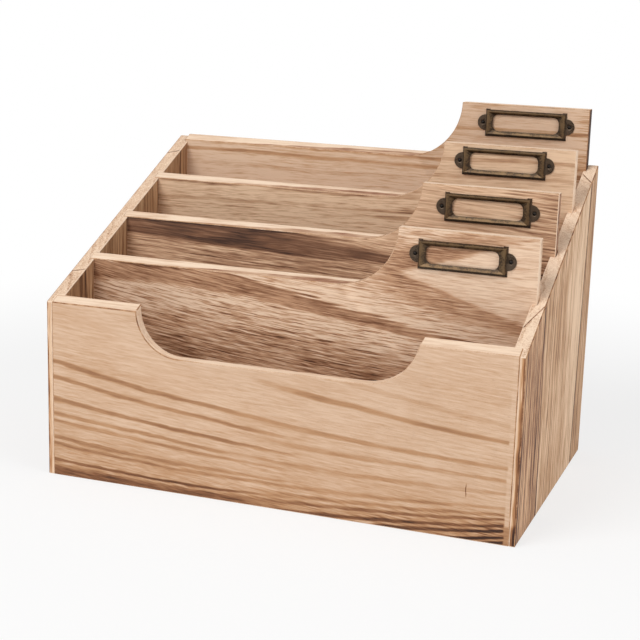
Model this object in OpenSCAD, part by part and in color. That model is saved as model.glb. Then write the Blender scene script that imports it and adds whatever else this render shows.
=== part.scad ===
// Desktop letter sorter: a wooden box whose sides slope up to the back, with a scooped front,
// three dividers that lift out of open-topped grooves, and a label holder on each raised tab.
// Depths are measured back from the front face, and the finished model is centred front to back.

/* [Box] */
// Overall width over the sides
box_w = 280; // [240:1:340]
// Overall depth from the front face to the rear face
box_d = 178; // [168:1:220]
// Height of the sides at the front face
front_h = 104; // [90:1:125]
// Height of the sides at the rear face
rear_h = 182; // [150:1:200]
// Thickness of the side planks
side_t = 8; // [7:0.5:12]
// Thickness of the front panel
front_t = 7; // [5:0.5:10]
// Thickness of the back panel
back_t = 7; // [5:0.5:10]
// Thickness of the bottom board
bottom_t = 5; // [4:0.5:8]

/* [Corner joints] */
// Wood of each side that shows beside the ends of the front panel
front_lip = 3.4; // [2:0.1:5]
// Wood of each side that shows beside the ends of the back panel
rear_lip = 6.3; // [3:0.1:7]
// Depth that the bottom board is let into the panels and sides
bottom_let_in = 3.5; // [2:0.1:4]

/* [Scoop in the front] */
// Width of the scoop at the panel's top
scoop_w = 166; // [120:1:200]
// Depth of the scoop below the panel's top
scoop_depth = 24.8; // [15:0.1:40]
// Radius of the scoop's left corner
scoop_left_r = 26; // [12:0.5:40]
// Radius of the scoop's right corner
scoop_right_r = 32; // [12:0.5:40]

/* [Side planks] */
// Right side's front glue joint at mid-height: its depth at the outer and the inner face
right_front_joint = [45.5, 24]; // [20:0.5:60]
// Right side's rear glue joint at mid-height: how far it is in front of the rear face, outside and inside
right_rear_joint = [25.5, 16]; // [13:0.5:38]
// Left side's front glue joint at mid-height: its depth at the outer and the inner face
left_front_joint = [31, 34]; // [20:0.5:60]
// Left side's rear glue joint at mid-height: how far it is in front of the rear face, outside and inside
left_rear_joint = [28, 24]; // [13:0.5:38]
// Lean of the glue joints, in degrees: the middle planks widen towards the top
plank_taper = 3.3; // [0:0.1:5]

/* [Dividers] */
// Thickness of a divider
divider_t = 6; // [4:0.5:8]
// Front-to-back room in each of the three rear pockets
pocket_d = 37; // [30:0.5:40]
// Depth of the grooves that the dividers slide in
groove_depth = 3.2; // [2:0.1:4]
// How much wider a groove is than its divider
groove_slack = 0.9; // [0.3:0.1:1.5]
// Gap between each end of a divider and the bottom of its groove
end_gap = 0.2; // [0.1:0.1:1]

/* [Tabs] */
// Height of a tab above the low edge beside it
tab_rise = 35.5; // [30:0.5:45]
// Width of a tab
tab_w = 79; // [72:0.5:100]
// Radius of the sweep from the low edge up to the tab
sweep_r = 35.5; // [10:0.5:45]
// How far the back panel's low edge stands above the sides' tops
back_rise = 1.3; // [0:0.1:5]

/* [Label holders] */
// Distance of each holder's centre from the tab's outer edge, front to back
holder_inset = [42.2, 40.1, 42.2, 38.7]; // [35:0.1:45]
// Distance of each holder's centre below the top of its tab, front to back
holder_drop = [13.7, 12.4, 10, 11.3]; // [10:0.1:16]
// Width of a holder's frame, without its ears
holder_w = 50.3; // [46:0.1:56]
// Height of a holder's frame
holder_h = 16.8; // [15:0.1:18]
// Border between the frame's edge and the window, at each end
border_end = 4.7; // [3.5:0.1:6]
// Border above the window
border_top = 3.2; // [2.6:0.1:4]
// Border below the window
border_bottom = 3.6; // [2.6:0.1:4]
// Radius of the window's corners
window_r = 3.6; // [1:0.1:4]
// Radius of an ear
ear_r = 4.8; // [3.5:0.1:6]
// Thickness of the pressed brass
sheet_t = 0.5; // [0.4:0.05:0.7]
// Height of the frame's ridge above the wood
ridge_h = 2.2; // [2:0.1:3]
// Distance of the ridge inside the frame's edge, over which the outer wall leans in
ridge_inset = 1.3; // [0.6:0.1:1.6]
// Width of the ridge's top
ridge_w = 0.5; // [0.3:0.1:0.8]
// Height of the slot for the card, behind the window's edge
card_slot = 0.8; // [0.6:0.1:1]
// Diameter of the dish pressed round each pin hole
dimple_d = 3.2; // [3:0.1:4]
// Depth of that dish
dimple_depth = 0.25; // [0.1:0.05:0.3]

/* [Fasteners] */
// Diameter of a label pin's shank
pin_d = 1.2; // [0.8:0.1:1.4]
// Diameter of a label pin's head
pin_head_d = 2.2; // [1.8:0.1:2.8]
// Length of a label pin under its head
pin_l = 5; // [3:0.1:5.4]
// Diameter of a brad
brad_d = 1.2; // [0.8:0.1:1.6]
// Length of a brad
brad_l = 16; // [12:1:25]

/* [Hidden] */

$fn = 96;
over = 1;            // how far a cut runs past the face it opens in
run_on = 0.5;        // how far a leaning cut runs on past its end, as a share of its height
drive_gap = 0.02;    // radial gap round a pin or brad, which the wood closes on
seat_gap = 0.1;      // gap in front of a divider, which leans on its groove's front wall
head_gap = 0.1;      // how much wider the bottom of an ear's dish is than the pin's head
brad_set = 0.3;      // how far a brad's head is driven below the surface
card_margin = 2;     // overlap of a card behind each end of the window

BACK = 3;            // the back panel's place in the row of tabs, after dividers 0 to 2
slope = (rear_h - front_h) / box_d;
inner_x = box_w / 2 - side_t;
front_half_w = box_w / 2 - front_lip;
back_half_w = box_w / 2 - rear_lip;
divider_half_w = inner_x + groove_depth - end_gap;
pin_x = holder_w / 2 + dimple_d / 2;
mid_h = (front_h + rear_h) / 4;
wood = [0.83, 0.67, 0.50];
dark_wood = [0.72, 0.54, 0.38];
brass = [0.36, 0.29, 0.20];
steel = [0.62, 0.62, 0.60];

// Height of the sides' top at a depth behind the front face
function top_at(depth) = front_h + slope * depth;

// Depth, half width, thickness and foot of the board that carries tab i
function board_depth(i) = box_d - back_t - (BACK - i) * (pocket_d + divider_t);
function board_half_w(i) = i == BACK ? back_half_w : divider_half_w;
function board_t(i) = i == BACK ? back_t : divider_t;
function board_foot(i) = i == BACK ? 0 : bottom_t;
function board_rise(i) = i == BACK ? back_rise : 0;
function low_edge(i) = top_at(board_depth(i)) + board_rise(i);
function tab_top(i) = low_edge(i) + tab_rise;

// Depths of a glue joint that is measured in front of the rear face
function from_rear(joint) = [for (distance = joint) box_d - distance];

// Brads along a side stand near its ends and under the middle pockets,
// and those along a panel stand at its middle and halfway to each end.
brad_corner = 14;
side_brad_depths = [
    brad_corner,
    board_depth(1) - pocket_d / 2,
    board_depth(2) - pocket_d / 2,
    box_d - brad_corner
];
panel_brad_xs = [-inner_x / 2, 0, inner_x / 2];
brad_places = concat(
    [for (s = [-1, 1], d = side_brad_depths) [s * (inner_x + bottom_let_in / 2), d]],
    [for (x = panel_brad_xs, d = [front_t - bottom_let_in / 2, box_d - back_t + bottom_let_in / 2]) [x, d]]
);

// Moves the front face from zero depth to half the depth in front of the origin
module centred() {
    translate([0, -box_d / 2, 0]) children();
}

// Everything below the plane of the sides' tops
module under_slope() {
    rotate([90, 0, 90])
        translate([0, 0, -box_w])
            linear_extrude(2 * box_w)
                polygon([
                    [-over, -over], [box_d + over, -over],
                    [box_d + over, top_at(box_d + over)], [-over, top_at(-over)]
                ]);
}

// Raises an outline drawn in width and height through a thickness, from a depth backwards
module upright(depth, t) {
    translate([0, depth + t, 0]) rotate([90, 0, 0]) linear_extrude(t) children();
}

// The space that the bottom board fills, run out through the underside by drop
module bottom_space(drop = 0) {
    half = inner_x + bottom_let_in;
    depth = front_t - bottom_let_in;
    translate([-half, depth, -drop])
        cube([2 * half, box_d - back_t + bottom_let_in - depth, bottom_t + drop]);
}

// All the brads, or with a gap the holes that they are driven into
module brads(gap = 0) {
    start = gap > 0 ? -over : brad_set;
    for (p = brad_places)
        translate([p.x, p.y, start])
            cylinder(d = brad_d + 2 * gap, h = brad_set + brad_l - start);
}

// What the bottom board and its brads take out of the pieces round it
module bottom_cuts() {
    bottom_space(over);
    brads(drive_gap);
}

// ---- Front panel ----

// Width that a scoop corner of radius r takes up at the panel's top
function scoop_run(r) = r > scoop_depth ? sqrt(r * r - pow(r - scoop_depth, 2)) : r;

// One end of the scoop: a quarter round that runs straight up above its centre
module scoop_end(r) {
    circle(r);
    translate([-r, 0]) square([2 * r, rear_h]);
}

// The scoop, with a corner of its own radius at each end
module scoop_outline() {
    floor_z = front_h - scoop_depth;
    left_run = scoop_run(scoop_left_r);
    right_run = scoop_run(scoop_right_r);
    translate([-scoop_w / 2 + left_run, floor_z + scoop_left_r]) scoop_end(scoop_left_r);
    translate([scoop_w / 2 - right_run, floor_z + scoop_right_r]) scoop_end(scoop_right_r);
    translate([-scoop_w / 2 + left_run, floor_z])
        square([scoop_w - left_run - right_run, rear_h]);
}

module front_panel() {
    color(wood) centred() difference() {
        intersection() {
            translate([-front_half_w, 0, 0]) cube([2 * front_half_w, front_t, rear_h]);
            under_slope();
        }
        upright(-over, front_t + 2 * over) scoop_outline();
        bottom_cuts();
    }
}

// ---- Sides ----

// The right side in one piece, with every rebate and groove in its inner face
module side_blank() {
    difference() {
        translate([inner_x, 0, 0])
            rotate([90, 0, 90])
                linear_extrude(side_t)
                    polygon([[0, 0], [box_d, 0], [box_d, rear_h], [0, front_h]]);
        translate([inner_x - over, -over, -over])
            cube([side_t - front_lip + over, front_t + over, rear_h]);
        translate([inner_x - over, box_d - back_t, -over])
            cube([side_t - rear_lip + over, back_t + over, rear_h + 2 * over]);
        for (i = [0 : BACK - 1])
            translate([inner_x - over, board_depth(i) - seat_gap, 0])
                cube([groove_depth + over, divider_t + groove_slack, rear_h]);
        bottom_cuts();
    }
}

// Everything behind a glue joint: its plane crosses the side from the outer face to the inner
module behind_joint(joint, lean) {
    run = (joint[1] - joint[0]) / side_t;
    translate([box_w / 2, joint[0], mid_h])
        rotate([lean, 0, 0])
            translate([0, 0, -rear_h])
                linear_extrude(2 * rear_h)
                    polygon([
                        [2 * side_t, -2 * side_t * run], [2 * side_t, 2 * box_d],
                        [-3 * side_t, 2 * box_d], [-3 * side_t, 3 * side_t * run]
                    ]);
}

module front_plank(front_joint) {
    difference() {
        side_blank();
        behind_joint(front_joint, plank_taper);
    }
}

module middle_plank(front_joint, rear_joint) {
    difference() {
        intersection() {
            side_blank();
            behind_joint(front_joint, plank_taper);
        }
        behind_joint(from_rear(rear_joint), -plank_taper);
    }
}

module rear_plank(rear_joint) {
    intersection() {
        side_blank();
        behind_joint(from_rear(rear_joint), -plank_taper);
    }
}

module right_side_front_plank() {
    color(dark_wood) centred() front_plank(right_front_joint);
}

module right_side_middle_plank() {
    color(wood) centred() middle_plank(right_front_joint, right_rear_joint);
}

module right_side_rear_plank() {
    color(wood) centred() rear_plank(right_rear_joint);
}

module left_side_front_plank() {
    color(dark_wood) centred() mirror([1, 0, 0]) front_plank(left_front_joint);
}

module left_side_middle_plank() {
    color(wood) centred() mirror([1, 0, 0]) middle_plank(left_front_joint, left_rear_joint);
}

module left_side_rear_plank() {
    color(wood) centred() mirror([1, 0, 0]) rear_plank(left_rear_joint);
}

// ---- Bottom ----

module bottom_board() {
    color(dark_wood) centred() difference() {
        bottom_space();
        brads(drive_gap);
    }
}

module bottom_brads() {
    color(steel) centred() brads();
}

// ---- Dividers and back ----

// Outline of tab i with the sweep up to it, down to the board's foot
module tab_outline(i) {
    low = low_edge(i);
    left = board_half_w(i) - tab_w;
    translate([left, board_foot(i)]) square([tab_w, tab_top(i) - board_foot(i)]);
    translate([left - sweep_r, 0]) difference() {
        translate([0, low - over]) square([sweep_r + over, over + min(sweep_r, tab_rise)]);
        translate([0, low + sweep_r]) circle(sweep_r);
    }
}

// Board i: its low edge is bevelled like the sides' tops, and its tab is square
module tabbed_board(i) {
    half_w = board_half_w(i);
    intersection() {
        translate([-half_w, board_depth(i), board_foot(i)])
            cube([2 * half_w, board_t(i), tab_top(i)]);
        translate([0, 0, board_rise(i)]) under_slope();
    }
    upright(board_depth(i), board_t(i)) tab_outline(i);
}

module divider(i) {
    color(wood) centred() difference() {
        tabbed_board(i);
        on_tab(i) pins(drive_gap);
    }
}

module front_divider() { divider(0); }
module middle_divider() { divider(1); }
module rear_divider() { divider(2); }

module back_panel() {
    color(wood) centred() difference() {
        tabbed_board(BACK);
        on_tab(BACK) pins(drive_gap);
        bottom_cuts();
    }
}

// ---- Label holders ----

// Stands a piece drawn flat, face up, against tab i where its label holder goes
module on_tab(i) {
    translate([
        board_half_w(i) - holder_inset[i],
        board_depth(i),
        tab_top(i) - holder_drop[i]
    ]) rotate([90, 0, 0]) children();
}

// Rectangles of a label holder, each as [left, right, bottom, top]
function frame_rect(inset) =
    [inset - holder_w / 2, holder_w / 2 - inset, inset - holder_h / 2, holder_h / 2 - inset];
window_rect = frame_rect(0) + [border_end, -border_end, border_bottom, -border_top];

// A block whose sides lean from one rectangle to another, run on below and above by shares
// of its height
module leaning_block(foot, head, low, high, below = 0, above = 0) {
    first = foot - below * (head - foot);
    last = head + above * (head - foot);
    z0 = low - below * (high - low);
    z1 = high + above * (high - low);
    intersection() {
        rotate([90, 0, 90])
            linear_extrude(2 * holder_w, center = true)
                polygon([[first[2], z0], [first[3], z0], [last[3], z1], [last[2], z1]]);
        rotate([90, 0, 0])
            linear_extrude(2 * holder_w, center = true)
                polygon([[first[0], z0], [first[1], z0], [last[1], z1], [last[0], z1]]);
    }
}

// The window, with round corners, cut right through
module window_cut() {
    r = window_r;
    w = window_rect;
    translate([0, 0, -over]) linear_extrude(ridge_h + 2 * over) {
        for (x = [w[0] + r, w[1] - r], y = [w[2] + r, w[3] - r]) translate([x, y]) circle(r);
        translate([w[0] + r, w[2]]) square([w[1] - w[0] - 2 * r, w[3] - w[2]]);
        translate([w[0], w[2] + r]) square([w[1] - w[0], w[3] - w[2] - 2 * r]);
    }
}

// The dish that rises from the window's edge to the ridge, lowered by a depth
module dish(lower) {
    leaning_block(
        window_rect, frame_rect(ridge_inset + ridge_w),
        card_slot + sheet_t - lower, ridge_h - lower, run_on, run_on
    );
}

// A round ear at each end, dished round its pin hole
module ears() {
    for (s = [-1, 1])
        difference() {
            translate([s * holder_w / 2, 0, 0]) cylinder(r = ear_r, h = sheet_t);
            translate([s * pin_x, 0, sheet_t - dimple_depth])
                cylinder(d1 = pin_head_d + head_gap, d2 = dimple_d, h = dimple_depth);
        }
}

// A pressed frame: its outer wall rises to a ridge, and its border dishes in to the window.
// It is hollow behind, and open along the top for a card to drop in.
module holder() {
    card_w = holder_w - 2 * border_end + 2 * card_margin;
    difference() {
        union() {
            leaning_block(frame_rect(0), frame_rect(ridge_inset), 0, ridge_h);
            ears();
        }
        dish(0);
        difference() {
            leaning_block(
                frame_rect(sheet_t), frame_rect(ridge_inset + ridge_w / 2),
                0, ridge_h - sheet_t, run_on
            );
            dish(sheet_t);
        }
        window_cut();
        translate([-card_w / 2, 0, -over]) cube([card_w, holder_h, card_slot + over]);
        pins(drive_gap);
    }
}

// A pair of round-headed pins, or with a gap the holes for their shanks
module pins(gap = 0) {
    for (s = [-1, 1])
        translate([s * pin_x, 0, sheet_t - dimple_depth])
            if (gap > 0)
                translate([0, 0, -pin_l - gap]) cylinder(d = pin_d + 2 * gap, h = pin_l + gap + over);
            else
                pin();
}

// One pin with its head resting in an ear's dish
module pin() {
    point = pin_d;
    cap_h = pin_head_d / 3;
    cap_r = (pow(pin_head_d / 2, 2) + cap_h * cap_h) / (2 * cap_h);
    rotate_extrude() {
        intersection() {
            translate([0, cap_h - cap_r]) circle(cap_r);
            square([pin_head_d / 2, cap_h]);
        }
        polygon([[0, 0], [pin_d / 2, 0], [pin_d / 2, point - pin_l], [0, -pin_l]]);
    }
}

module label_holder(i) {
    color(brass) centred() on_tab(i) holder();
}

module label_pins(i) {
    color(brass) centred() on_tab(i) pins();
}

module front_label_holder() { label_holder(0); }
module middle_label_holder() { label_holder(1); }
module rear_label_holder() { label_holder(2); }
module back_label_holder() { label_holder(BACK); }
module front_label_pins() { label_pins(0); }
module middle_label_pins() { label_pins(1); }
module rear_label_pins() { label_pins(2); }
module back_label_pins() { label_pins(BACK); }

front_panel();
back_panel();
bottom_board();
right_side_front_plank();
right_side_middle_plank();
right_side_rear_plank();
left_side_front_plank();
left_side_middle_plank();
left_side_rear_plank();
front_divider();
middle_divider();
rear_divider();
front_label_holder();
middle_label_holder();
rear_label_holder();
back_label_holder();
front_label_pins();
middle_label_pins();
rear_label_pins();
back_label_pins();
bottom_brads();
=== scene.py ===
"""The looks of a desktop letter sorter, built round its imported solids.

Torched boards with eased arrises take the place of the plain solids, and antique brass label
holders hang on their tabs. Meshes are in metres, in the frame of the solids. Patterns are worked
out in millimetres from Object coordinates, so they stay on the wood when a divider is lifted.
"""

import logging
import math
from dataclasses import dataclass, field
from enum import Enum, IntEnum

import bmesh
import bpy
from mathutils import Matrix, Vector


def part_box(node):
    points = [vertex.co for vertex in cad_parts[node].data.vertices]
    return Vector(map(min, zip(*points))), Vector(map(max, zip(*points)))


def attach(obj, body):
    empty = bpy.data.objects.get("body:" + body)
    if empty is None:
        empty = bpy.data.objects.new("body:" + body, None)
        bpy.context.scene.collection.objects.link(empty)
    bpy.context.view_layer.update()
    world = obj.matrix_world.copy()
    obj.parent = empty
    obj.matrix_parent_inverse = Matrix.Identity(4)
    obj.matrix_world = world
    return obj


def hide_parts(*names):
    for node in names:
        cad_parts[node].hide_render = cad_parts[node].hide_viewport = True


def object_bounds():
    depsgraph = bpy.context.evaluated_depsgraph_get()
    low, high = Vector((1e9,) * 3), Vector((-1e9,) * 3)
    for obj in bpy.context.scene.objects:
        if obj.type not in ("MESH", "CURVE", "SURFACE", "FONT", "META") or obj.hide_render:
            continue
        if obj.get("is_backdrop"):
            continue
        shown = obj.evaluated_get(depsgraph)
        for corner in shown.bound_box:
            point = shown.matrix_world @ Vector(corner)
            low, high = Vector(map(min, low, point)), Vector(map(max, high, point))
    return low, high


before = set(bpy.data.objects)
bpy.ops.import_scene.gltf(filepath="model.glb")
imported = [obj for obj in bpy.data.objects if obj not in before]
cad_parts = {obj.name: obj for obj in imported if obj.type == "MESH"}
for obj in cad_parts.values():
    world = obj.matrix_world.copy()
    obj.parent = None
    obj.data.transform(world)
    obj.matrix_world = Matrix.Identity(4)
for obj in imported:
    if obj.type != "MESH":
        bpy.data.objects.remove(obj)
CAD_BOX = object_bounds()

log = logging.getLogger("letter_sorter")

MM = 0.001
MOST_STREAKS = 8  # a colour ramp takes 32 stops, and a streak has four
MIX_COLOURS = (6, 7)  # the inputs of a Mix node that take its two colours
MIX_RESULT = 2  # its output for the blended colour
FAR_OFF = 1000.0  # millimetres, out of reach of every piece
ON_PLANE = 0.05  # millimetres by which a corner may miss the plane of a glue joint
SAME_FACE = 0.1  # millimetres by which a corner may miss a plank's face

WELD = 0.002 * MM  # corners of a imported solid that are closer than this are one
FLAT = math.radians(0.4)  # faces that turn less than this are joined
SHARP = math.radians(25)  # edges that turn more than this are eased
CREASE = math.radians(20)  # edges that turn more than this are shaded sharp
BROAD = 0.95  # how squarely a face looks along an axis to count as a board's broad face

Colour = tuple[float, float, float, float]
Marks = tuple[tuple[float, float], ...]
Socket = bpy.types.NodeSocket


def tone(red: int, green: int, blue: int) -> Colour:
    """Turns a colour as a screen shows it into the linear one that shaders use.

    Args:
        red: Red from 0 to 255.
        green: Green from 0 to 255.
        blue: Blue from 0 to 255.

    Returns:
        Linear red, green and blue, and an alpha of 1.
    """
    def linear(level: int) -> float:
        """Undoes the screen's gamma for one channel."""
        share = level / 255
        return share / 12.92 if share <= 0.04045 else ((share + 0.055) / 1.055) ** 2.4

    return linear(red), linear(green), linear(blue), 1.0


def grey(level: float) -> Colour:
    """A grey, from 0 to 1 in linear light."""
    return level, level, level, 1.0


# ---- Shader arithmetic ----


def feed(tree: bpy.types.NodeTree, socket: Socket, value: "Term | Socket | Colour | float") -> None:
    """Gives an input what it takes.

    Args:
        tree: The node tree.
        socket: The input.
        value: A worked-out number, another node's output, or a plain number or colour.
    """
    source = value.socket if isinstance(value, Term) else value
    if isinstance(source, Socket):
        tree.links.new(source, socket)
    else:
        socket.default_value = source


class Term:
    """A number that a shader works out at each point. Arithmetic on it adds Math nodes."""

    def __init__(self, tree: bpy.types.NodeTree, socket: Socket) -> None:
        """Wraps the output that carries the number.

        Args:
            tree: The node tree that further nodes go into.
            socket: The output that carries the number.
        """
        self.tree = tree
        self.socket = socket

    @staticmethod
    def calculate(tree: bpy.types.NodeTree, operation: str, *values: "Term | float") -> "Term":
        """Adds a Math node.

        Args:
            tree: The node tree that the node goes into.
            operation: The node's operation, such as "MULTIPLY".
            *values: What its inputs take, in order.

        Returns:
            The node's result.
        """
        node = tree.nodes.new("ShaderNodeMath")
        node.operation = operation
        for socket, value in zip(node.inputs, values):
            feed(tree, socket, value)
        return Term(tree, node.outputs[0])

    def math(self, operation: str, *others: "Term | float") -> "Term":
        """Adds a Math node whose first input is this number."""
        return Term.calculate(self.tree, operation, self, *others)

    def __add__(self, other: "Term | float") -> "Term":
        """This number plus another."""
        return self.math("ADD", other)

    __radd__ = __add__

    def __sub__(self, other: "Term | float") -> "Term":
        """This number less another."""
        return self.math("SUBTRACT", other)

    def __rsub__(self, other: float) -> "Term":
        """A plain number less this one."""
        return Term.calculate(self.tree, "SUBTRACT", other, self)

    def __mul__(self, other: "Term | float") -> "Term":
        """This number times another."""
        return self.math("MULTIPLY", other)

    __rmul__ = __mul__

    def __truediv__(self, other: "Term | float") -> "Term":
        """This number divided by another."""
        return self.math("DIVIDE", other)

    def rise(self, low: float, high: float) -> "Term":
        """Turns this number into a smooth step up.

        Args:
            low: Where the step starts, at 0.
            high: Where it ends, at 1.

        Returns:
            The step, from 0 to 1.
        """
        node = self.tree.nodes.new("ShaderNodeMapRange")
        node.interpolation_type = "SMOOTHSTEP"
        for socket, value in (("Value", self), ("From Min", low), ("From Max", high)):
            feed(self.tree, node.inputs[socket], value)
        return Term(self.tree, node.outputs["Result"])

    def fall(self, low: float, high: float) -> "Term":
        """A smooth step down from 1 at low to 0 at high."""
        return 1.0 - self.rise(low, high)

    def hypot(self, other: "Term") -> "Term":
        """The length of the diagonal over this number and another."""
        return (self * self + other * other).math("SQRT")


Place = tuple[Term, Term, Term]


class Canvas:
    """The nodes of one material, with the few kinds that the finishes need."""

    def __init__(self, name: str) -> None:
        """Makes an empty material.

        Args:
            name: The material's name.
        """
        self.material = bpy.data.materials.new(name)
        self.material.use_nodes = True
        self.tree = self.material.node_tree
        self.shader = self.tree.nodes["Principled BSDF"]

    def place(self) -> Place:
        """Finds where the shaded point is.

        Returns:
            Its place along X, Y and Z, in millimetres.
        """
        coordinates = self.tree.nodes.new("ShaderNodeTexCoord")
        split = self.tree.nodes.new("ShaderNodeSeparateXYZ")
        self.tree.links.new(coordinates.outputs["Object"], split.inputs[0])
        x, y, z = (Term(self.tree, output) / MM for output in split.outputs)
        return x, y, z

    def noise(self, x: Term, y: Term, z: "Term | float", detail: float = 2.0) -> Term:
        """Adds cloudy noise, whose clouds are about one unit across.

        A coordinate in millimetres that is divided by 5 gives clouds of 5 mm along it.

        Args:
            x: The first coordinate.
            y: The second coordinate.
            z: The third coordinate.
            detail: How many finer layers of noise are added.

        Returns:
            The noise, round a middle of 0.
        """
        join = self.tree.nodes.new("ShaderNodeCombineXYZ")
        for socket, value in zip(join.inputs, (x, y, z)):
            feed(self.tree, socket, value)
        node = self.tree.nodes.new("ShaderNodeTexNoise")
        node.inputs["Scale"].default_value = 1.0
        node.inputs["Detail"].default_value = detail
        self.tree.links.new(join.outputs[0], node.inputs["Vector"])
        return Term(self.tree, node.outputs["Fac"]) - 0.5

    def random(self, number: Term) -> Term:
        """Adds a random value for each different number.

        Args:
            number: What picks the value.

        Returns:
            The value, from 0 to 1.
        """
        node = self.tree.nodes.new("ShaderNodeTexWhiteNoise")
        node.noise_dimensions = "1D"
        self.tree.links.new(number.socket, node.inputs["W"])
        return Term(self.tree, node.outputs["Value"])

    def ramp(self, amount: Term, stops: list[tuple[float, Colour]], easing: str = "LINEAR") -> Socket:
        """Adds a colour ramp.

        Args:
            amount: The number that picks the colour.
            stops: Places from 0 to 1 in rising order, each with its colour.
            easing: How the colours blend between the stops.

        Returns:
            The colour that was picked.
        """
        node = self.tree.nodes.new("ShaderNodeValToRGB")
        node.color_ramp.interpolation = easing
        elements = node.color_ramp.elements
        elements.remove(elements[1])
        elements[0].position, elements[0].color = stops[0]
        for position, colour in stops[1:]:
            elements.new(position).color = colour
        self.tree.links.new(amount.socket, node.inputs["Fac"])
        return node.outputs["Color"]

    def mix(self, share: Term, first: "Socket | Colour", second: "Socket | Colour") -> Socket:
        """Blends two colours.

        Args:
            share: How much of the second colour shows, from 0 to 1.
            first: The colour at 0.
            second: The colour at 1.

        Returns:
            The blended colour.
        """
        node = self.tree.nodes.new("ShaderNodeMix")
        node.data_type = "RGBA"
        from_colour, to_colour = (node.inputs[number] for number in MIX_COLOURS)
        for socket, value in ((node.inputs["Factor"], share), (from_colour, first), (to_colour, second)):
            feed(self.tree, socket, value)
        return node.outputs[MIX_RESULT]

    def finish(self, colour: Socket, rough: Term, height: Term, relief: float) -> bpy.types.Material:
        """Wires the finished pattern to the shader.

        Args:
            colour: The surface's colour.
            rough: Its roughness.
            height: Its fine relief, in units of relief.
            relief: What one unit of height stands for, in metres.

        Returns:
            The material.
        """
        bump = self.tree.nodes.new("ShaderNodeBump")
        for socket, value in (
            (bump.inputs["Distance"], relief),
            (bump.inputs["Height"], height),
            (self.shader.inputs["Normal"], bump.outputs["Normal"]),
            (self.shader.inputs["Base Color"], colour),
            (self.shader.inputs["Roughness"], rough),
        ):
            feed(self.tree, socket, value)
        return self.material


# ---- Wood ----


@dataclass(frozen=True)
class Timber:
    """The colours of one board, from bare wood to charred, and how it takes the light."""

    bare: Colour
    warm: Colour
    brown: Colour
    char: Colour = tone(64, 42, 32)
    warm_at: float = 0.38
    brown_at: float = 0.72
    specular: float = 0.25

    def finish(
        self, canvas: Canvas, dark: Term, rough: Term, height: Term, relief: float
    ) -> bpy.types.Material:
        """Colours a pattern as this wood and wires it to the shader.

        Args:
            canvas: The material's nodes.
            dark: How charred the wood is, from 0 to 1.
            rough: Its roughness.
            height: Its fine relief, in units of relief.
            relief: What one unit of height stands for, in metres.

        Returns:
            The material.
        """
        stops = [
            (0.0, self.bare), (self.warm_at, self.warm), (self.brown_at, self.brown), (1.0, self.char)
        ]
        canvas.shader.inputs["Specular IOR Level"].default_value = self.specular
        return canvas.finish(canvas.ramp(dark, stops), rough, height, relief)


TAN = Timber(bare=tone(221, 189, 161), warm=tone(188, 144, 106), brown=tone(134, 90, 61))
PALE_TAN = Timber(bare=tone(240, 208, 176), warm=tone(192, 150, 113), brown=tone(134, 93, 64))
HONEY = Timber(bare=tone(234, 200, 167), warm=tone(196, 155, 121), brown=tone(132, 92, 67))
ROSY = Timber(bare=tone(241, 211, 183), warm=tone(198, 154, 120), brown=tone(134, 91, 64))
AMBER = Timber(bare=tone(236, 200, 166), warm=tone(186, 144, 112), brown=tone(124, 86, 63))
EMBER = Timber(bare=tone(238, 206, 174), warm=tone(190, 138, 96), brown=tone(122, 78, 50))
RUDDY = Timber(bare=tone(222, 182, 146), warm=tone(178, 134, 100), brown=tone(118, 78, 55))
DUN = Timber(bare=tone(206, 168, 130), warm=tone(176, 134, 98), brown=tone(126, 88, 60))
CREAM = Timber(bare=tone(241, 215, 189), warm=tone(215, 180, 150), brown=tone(156, 112, 86))


class Grain(Enum):
    """Which way a board's grain runs."""

    LEVEL_UPRIGHT_BOARD = "along X, in a board that stands across the box"
    UPRIGHT = "along Z, in a side plank"
    LEVEL_FLAT_BOARD = "along X, in a board that lies flat"

    def axes(self, x: Term, y: Term, z: Term) -> Place:
        """Sorts a place by the board's own directions.

        Args:
            x: Place along X.
            y: Place along Y.
            z: Place along Z.

        Returns:
            The place along the grain, across the face and through the thickness.
        """
        if self is Grain.UPRIGHT:
            return z, y, x
        if self is Grain.LEVEL_FLAT_BOARD:
            return x, y, z
        return x, z, y


@dataclass(frozen=True)
class Streak:
    """A dark growth line or band of a board, in millimetres across its growth rings."""

    start: float
    end: float
    depth: float
    fade_in: float = 1.2
    fade_out: float = 1.2

    def stops(self) -> Marks:
        """Lists the marks that a curve across the rings runs through.

        Returns:
            Places across the rings, each with how dark the wood is there.
        """
        return (
            (self.start - self.fade_in, 0.0), (self.start, self.depth),
            (self.end, self.depth), (self.end + self.fade_out, 0.0),
        )


def line(at: float, depth: float, width: float = 1.2) -> Streak:
    """A soft growth line, as wide at its core as its fade on each side."""
    return Streak(at - width / 2, at + width / 2, depth, width, width)


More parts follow.
